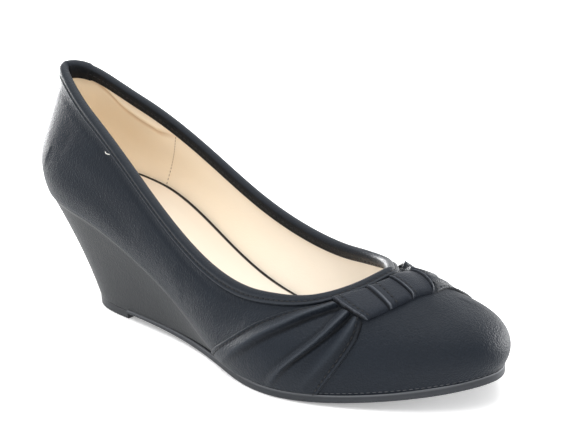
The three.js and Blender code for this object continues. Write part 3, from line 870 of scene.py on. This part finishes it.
flat = sole_grid(lambda r: foot_line(r, wall_thickness + 0.15 * mm), sock_rows, sock_shares)
x, y = flat[..., 0], flat[..., 1]
half_width = np.linalg.norm(flat[:, -1] - flat[:, 0], axis=1)[:, None] / 2
edge = np.minimum(sock_shares, 1 - sock_shares)[None, :] * 2 * half_width
cup = 1.2 * mm * bump(edge / (9 * mm)) * np.minimum(1, half_width / (12 * mm))
cover = points(x, y, seat_z(x) + insole_thickness + cup) + shoe_middle
back = points(x, y, seat_z(x) + 0.02 * mm) + shoe_middle
black_edge_line = 1 - np.clip((edge - 1.5 * mm) / (0.25 * mm), 0, 1)
insole = slab("insole_sock", cover, back, sock_cream, {"trough": black_edge_line}, 50)
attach(insole, "root")
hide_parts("insole")


# Wedge: a shaped block wrapped in the same leatherette, hollow at the sides, its cover drawn tight into
# the crease under the upper. It is a little paler and duller than the upper.
heel_rake, tip_length, tip_width, tip_thickness = 30.5 * mm, 35 * mm, 45 * mm, 4 * mm
waist_thickness, wedge_hollow, crease_inset = 1.2 * mm, 1 * mm, 0.6 * mm
breast = heel_rake + tip_length
wedge_front_row = 5.3
# outline of the shoe's underside, first under the heel, then under the arch, then as the last
under_heel = ((0, 0, 0), (0.09, -0.2, 0.19), (0.4, -0.42, 0.41), (1, -0.51, 0.49))
under_arch = ((0.41, -0.33, 0.265), (0.54, -0.425, 0.31))
base = [(heel_rake + at * tip_length, lat * tip_width, med * tip_width) for at, lat, med in under_heel]
for at, lat, med in (*under_arch, *sections[6:, :3]):
    base.append((at * shoe_length, lat * ball_width, med * ball_width))
base = np.array(base)
base_x = around_shoe(1, base[:, 0], base[:, 0])
base_y = around_shoe(1, base[:, 1], base[:, 2])


def sole_share(x):
    t = np.clip((x - breast) / (tread_start - breast), 0, 1)
    return t * t * (3 - 2 * t)


def sole_under_z(x):
    return (tip_thickness - waist_thickness) * (1 - sole_share(x)) + spring_z(x)


def sole_top_z(x):
    return sole_under_z(x) + waist_thickness + (sole_thickness - waist_thickness) * sole_share(x)


def wedge_side(row, level):
    """Side of the wedge: level goes from its foot (0) to the crease under the upper (1)."""
    row, level = np.broadcast_arrays(row, level)
    low_x, low_y = base_x(row), base_y(row)
    low_z = np.maximum(tip_thickness, sole_top_z(low_x)) + 0.02 * mm
    head = foot_line(row, crease_inset)
    high_z = seat_z(head[..., 0]) + 0.05 * mm
    low = points(low_x, low_y, low_z)
    high = points(head[..., 0], head[..., 1], high_z)
    spot = low + (high - low) * level[..., None]
    tall = (high_z - low_z) / seat_height
    hollow = wedge_hollow * 4 * level * (1 - level) * tall
    edge = np.minimum(level, 1 - level) * np.maximum(high_z - low_z, 1e-6)
    below_crease = (1 - level) * (high_z - low_z)
    lip = 0.5 * mm * bump(below_crease / (2.4 * mm)) - 0.15 * mm * (1 - rounded(edge / (0.3 * mm)))
    return spot + out_of(base_x, base_y, row) * (lip - hollow)[..., None] + shoe_middle


wedge_cover = leather("wedge_cover", (42, 44, 46), (52, 54, 56), 0.5, 0.7)
wedge_rows = np.linspace(0, wedge_front_row, 150)
close_to_edges = [0.004, 0.01, 0.018, 0.96, 0.975, 0.985, 0.992, 0.997]
levels = np.unique(np.concatenate([np.linspace(0, 1, 40), close_to_edges]))
lateral = wedge_side(wedge_rows[:, None], levels[None, :])
medial = wedge_side(rows_around - wedge_rows[:, None], levels[None, :])
shares = np.linspace(0, 1, 14)[1:-1]


def across_wedge(level, height):
    one, other = lateral[:, level], medial[:, level]
    grid = one[:, None] * (1 - shares[None, :, None]) + other[:, None] * shares[None, :, None]
    grid[..., 2] = height(grid[..., 0] - shoe_middle[0])
    return grid


top_face = across_wedge(-1, lambda x: seat_z(x) - 0.1 * mm)
low_face = across_wedge(0, lambda x: np.maximum(tip_thickness, sole_top_z(x)) + 0.05 * mm)
loop = np.concatenate([lateral, top_face, medial[:, ::-1], low_face[:, ::-1]], axis=1)
count, around = loop.shape[:2]
faces = ring_faces(count, around, False, True)
# at the heel both sides meet in one line, and at the front a fan closes the thin end
spots = np.concatenate([loop.reshape(-1, 3), loop[-1:].mean(axis=1)])
j = np.arange(around)
next_j = (j + 1) % around
far = 0 * j + count * around
fan = np.stack([(count - 1) * around + j, far, far, (count - 1) * around + next_j], 1)
# painted highlight: a pale line just under the crease, widening into a broad paler band towards the front end
below_crease = (1 - levels) * (lateral[:, -1:, 2] - lateral[:, :1, 2])
near_front = (wedge_rows[:, None] / wedge_front_row) ** 3
crease_highlight = 0.7 * bump(below_crease / (1.8 * mm)) + 0.5 * bump(below_crease / (16 * mm)) * near_front
plain = np.zeros((count, len(shares)))
tones = np.concatenate([crease_highlight, plain, crease_highlight[:, ::-1], plain], axis=1).ravel()
fields = {"crest": np.append(tones, 0)}
wedge = make_piece("wedge_body", spots, np.concatenate([faces, fan]), wedge_cover, fields, 50)
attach(wedge, "root")
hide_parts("wedge")


# Outsole: a moulded rubber sheet glued on from the front of the top piece to the toe, thin under the
# arch. Its rounded edges stand a little proud of the upper, with a bead along the forefoot.
sole_rubber = Finish("sole_rubber", {"Specular IOR Level": 0.4})
dust = sole_rubber.noise(120, 3)
grit = sole_rubber.noise(1800, 2)
worn = sole_rubber.mix(dust, paint(34, 37, 42), paint(45, 48, 53))
# painted highlight: a pale line along the rounded top and bottom edges
edge_highlight = sole_rubber.mix(sole_rubber.field("crest") * 0.8, worn, paint(112, 115, 119))
sole_rubber.shade("Base Color", edge_highlight)
sole_rubber.shade("Roughness", 0.55 + 0.2 * grit)
sole_rubber.bump([(dust, 0.0002), (grit, 0.00008)])


def base_line(row, outset=0.0):
    return points(base_x(row), base_y(row), 0 * row) + out_of(base_x, base_y, row) * outset


breast_row = 3
wedge_end = base_x(wedge_front_row)
sole_rows = np.linspace(breast_row, toe_row, 220)
sole_edge = np.array([0, 0.004, 0.012, 0.024])
sole_shares = np.concatenate([sole_edge, np.linspace(0.04, 0.96, 40), 1 - sole_edge[::-1]])
sole_outset = 0.8 * mm
flat = sole_grid(lambda r: base_line(r, sole_outset), sole_rows, sole_shares)
x, y = flat[..., 0], flat[..., 1]
width = np.linalg.norm(flat[:, -1] - flat[:, 0], axis=1)[:, None]
edge = np.minimum(sole_shares, 1 - sole_shares)[None, :] * width
soften = 0.5 * mm * (1 - rounded(edge / (0.6 * mm)))
bead = 0.45 * mm * bump((edge - 0.5 * mm) / (0.5 * mm)) * (x > wedge_end)
cover = points(x, y, sole_top_z(x) + 0.26 * mm - 1.2 * soften + bead) + shoe_middle
back = points(x, y, sole_under_z(x) + soften) + shoe_middle
outsole = slab("outsole_sheet", cover, back, sole_rubber, {"crest": bump((edge - 0.4 * mm) / (0.4 * mm))}, 50)
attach(outsole, "root")
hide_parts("outsole")


# Top piece: the rubber block under the heel, cut straight at the front, nailed on through its middle,
# with its back edge ground off a little.
tip_rubber = Finish("tip_rubber", {"Specular IOR Level": 0.35})
dust = tip_rubber.noise(160, 3)
grit = tip_rubber.noise(1500, 2)
tip_rubber.shade("Base Color", tip_rubber.mix(dust, paint(40, 42, 45), paint(56, 58, 61)))
tip_rubber.shade("Roughness", 0.6 + 0.2 * grit)
tip_rubber.bump([(dust, 0.0002), (grit, 0.0001)])


def tip_line(row):
    spot = base_line(row)
    spot[..., 0] = np.minimum(spot[..., 0], breast - clearance)
    return spot


tip_rows = np.linspace(0, breast_row, 90)
flat = sole_grid(tip_line, tip_rows, sole_shares)
x, y = flat[..., 0], flat[..., 1]
width = np.linalg.norm(flat[:, -1] - flat[:, 0], axis=1)[:, None]
edge = np.minimum(sole_shares, 1 - sole_shares)[None, :] * width
ground = 0.9 * mm * np.clip(1 - (x - heel_rake) / (9 * mm), 0, 1) ** 2
cover = points(x, y, tip_thickness - 0.3 * mm * (1 - rounded(edge / (0.4 * mm)))) + shoe_middle
back = points(x, y, ground + 0.6 * mm * (1 - rounded(edge / (0.7 * mm)))) + shoe_middle
heel_tip = slab("top_piece", cover, back, tip_rubber, None, 35)
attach(heel_tip, "root")
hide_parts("heel_tip")


# Stitches: thread sewn in rows along the binding, the hems of the drapes, the tucks of the band, the
# lining's seam and the sole, and one loose white end at the binding. Each row is a line on its piece,
# and each stitch a short rounded bar laid along it.
def thread(name, colour):
    finish = Finish(name, {"Specular IOR Level": 0.4})
    twist = finish.noise(2500, 1)
    finish.shade("Base Color", finish.mix(twist, paint(*colour), paint(*(c + 22 for c in colour))))
    finish.shade("Roughness", 0.5 + 0.2 * twist)
    finish.bump([(twist, 0.00005)])
    return finish


def stitch_tree():
    """Geometry nodes: a line becomes a row of stitches, each a short bar along the line."""
    tree = bpy.data.node_groups.new("stitch_row", "GeometryNodeTree")
    tree.interface.new_socket("Geometry", in_out="INPUT", socket_type="NodeSocketGeometry")
    for name in ("Spacing", "Length", "Thickness"):
        tree.interface.new_socket(name, in_out="INPUT", socket_type="NodeSocketFloat")
    tree.interface.new_socket("Thread", in_out="INPUT", socket_type="NodeSocketMaterial")
    tree.interface.new_socket("Geometry", in_out="OUTPUT", socket_type="NodeSocketGeometry")

    def node(kind, settings=(), **links):
        made = tree.nodes.new(kind)
        for setting, value in dict(settings).items():
            setattr(made, setting, value)
        for socket, source in links.items():
            target = made.inputs[socket.replace("_", " ")]
            if isinstance(source, bpy.types.NodeSocket):
                tree.links.new(source, target)
            else:
                target.default_value = source
        return made

    given = node("NodeGroupInput").outputs
    line = node("GeometryNodeMeshToCurve", Mesh=given["Geometry"]).outputs["Curve"]
    points_on = node("GeometryNodeResampleCurve", {"mode": "LENGTH"}, Curve=line, Length=given["Spacing"])
    ball = node("GeometryNodeMeshUVSphere", Segments=6, Rings=4, Radius=0.5).outputs["Mesh"]
    wide, long = given["Thickness"], given["Length"]
    size = node("ShaderNodeCombineXYZ", X=wide, Y=wide, Z=long).outputs[0]
    bar = node("GeometryNodeTransform", Geometry=ball, Scale=size).outputs["Geometry"]
    tangent = node("GeometryNodeInputTangent").outputs[0]
    turn = node("FunctionNodeAlignRotationToVector", {"axis": "Z"}, Vector=tangent).outputs["Rotation"]
    row = node("GeometryNodeInstanceOnPoints", Points=points_on.outputs["Curve"], Instance=bar, Rotation=turn)
    real = node("GeometryNodeRealizeInstances", Geometry=row.outputs["Instances"])
    sewn = node("GeometryNodeSetMaterial", Geometry=real.outputs["Geometry"], Material=given["Thread"])
    tree.links.new(sewn.outputs["Geometry"], node("NodeGroupOutput").inputs["Geometry"])
    return tree


stitch_row = stitch_tree()


def sew(name, lines, spacing, length, thickness, finish):
    """One piece of stitching: lines are arrays of points, each sewn from end to end."""
    spots = np.concatenate(lines)
    edges = []
    start = 0
    for line in lines:
        edges += [(start + k, start + k + 1) for k in range(len(line) - 1)]
        start += len(line)
    path = bpy.data.meshes.new(name + "_path")
    path.from_pydata(spots.tolist(), edges, [])
    guide = bpy.data.objects.new(name + "_path", path)
    scene.collection.objects.link(guide)
    modifier = guide.modifiers.new("sew", "NODES")
    modifier.node_group = stitch_row
    inputs = {"Spacing": spacing, "Length": length, "Thickness": thickness, "Thread": finish.material}
    for item in stitch_row.interface.items_tree:
        if item.in_out == "INPUT" and item.name in inputs:
            modifier[item.identifier] = inputs[item.name]
    shown = guide.evaluated_get(bpy.context.evaluated_depsgraph_get())
    mesh = bpy.data.meshes.new_from_object(shown)
    mesh.name = name
    mesh.shade_smooth()
    guide.modifiers.remove(modifier)
    bpy.data.objects.remove(guide)
    piece = bpy.data.objects.new(name, mesh)
    scene.collection.objects.link(piece)
    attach(piece, "root")


dark_thread = thread("dark_thread", (9, 10, 12))
grey_thread = thread("grey_thread", (62, 64, 68))
brown_thread = thread("brown_thread", (120, 96, 70))
white_thread = thread("white_thread", (236, 234, 228))

collar_rows = np.linspace(0.03, rows_around - 0.03, 900)
groove_down = 2.0 * mm
collar_line = binding_spot(collar_rows, groove_down, 0.86 * mm)
sew("stitches_collar", [collar_line], 2.5 * mm, 1.8 * mm, 0.55 * mm, dark_thread)
facing_line = binding_spot(collar_rows, groove_down, -2.94 * mm)
sew("stitches_facing", [facing_line], 2.4 * mm, 1.7 * mm, 0.4 * mm, dark_thread)


def hem_line(edges, folds, front):
    downs = np.linspace(0.02, 0.99, 120)
    share = 1.8 * mm / drape_width(edges, downs)
    across = (1 - share if front else share)[:, None]
    return drape_spots(edges, folds, across, downs[:, None], 0.12 * mm)[0][:, 0]


hems = []
for edges, folds in ((lateral_edges, lateral_folds), (medial_edges, medial_folds)):
    hems += [hem_line(edges, folds, front) for front in (False, True)]
sew("stitches_drapes", hems, 2.4 * mm, 1.7 * mm, 0.5 * mm, dark_thread)

tuck_lines = []
for start in tucks:
    along = np.full(60, start + stitches_off / band_run)
    tuck_lines.append(band_spots(along, np.linspace(0.06, 0.94, 60), 0.1 * mm)[0])
sew("stitches_band", tuck_lines, 2.2 * mm, 1.5 * mm, 0.48 * mm, dark_thread)

seam_ups = np.linspace(0.84, 0.06, 80)
seam_line = off_wall(17.4 + 0.3 * (0.84 - seam_ups), seam_ups, -wall_thickness - 0.05 * mm)
sew("stitches_lining", [seam_line], 2.0 * mm, 1.0 * mm, 0.45 * mm, brown_thread)

sole_seam = off_wall(np.linspace(7.2, 12.4, 400), 0.022, 0.08 * mm)
sew("stitches_sole", [sole_seam], 2.3 * mm, 1.7 * mm, 0.28 * mm, grey_thread)

loose_end = smooth_line([(2.555, 0.892, 1.3), (2.58, 0.89, 1.5), (2.61, 0.904, 1.4), (2.64, 0.92, 1.5)], 16)
loose_end = off_wall(loose_end[:, 0], loose_end[:, 1], loose_end[:, 2] * mm)
sew("loose_thread", [loose_end], 0.22 * mm, 0.5 * mm, 0.34 * mm, white_thread)
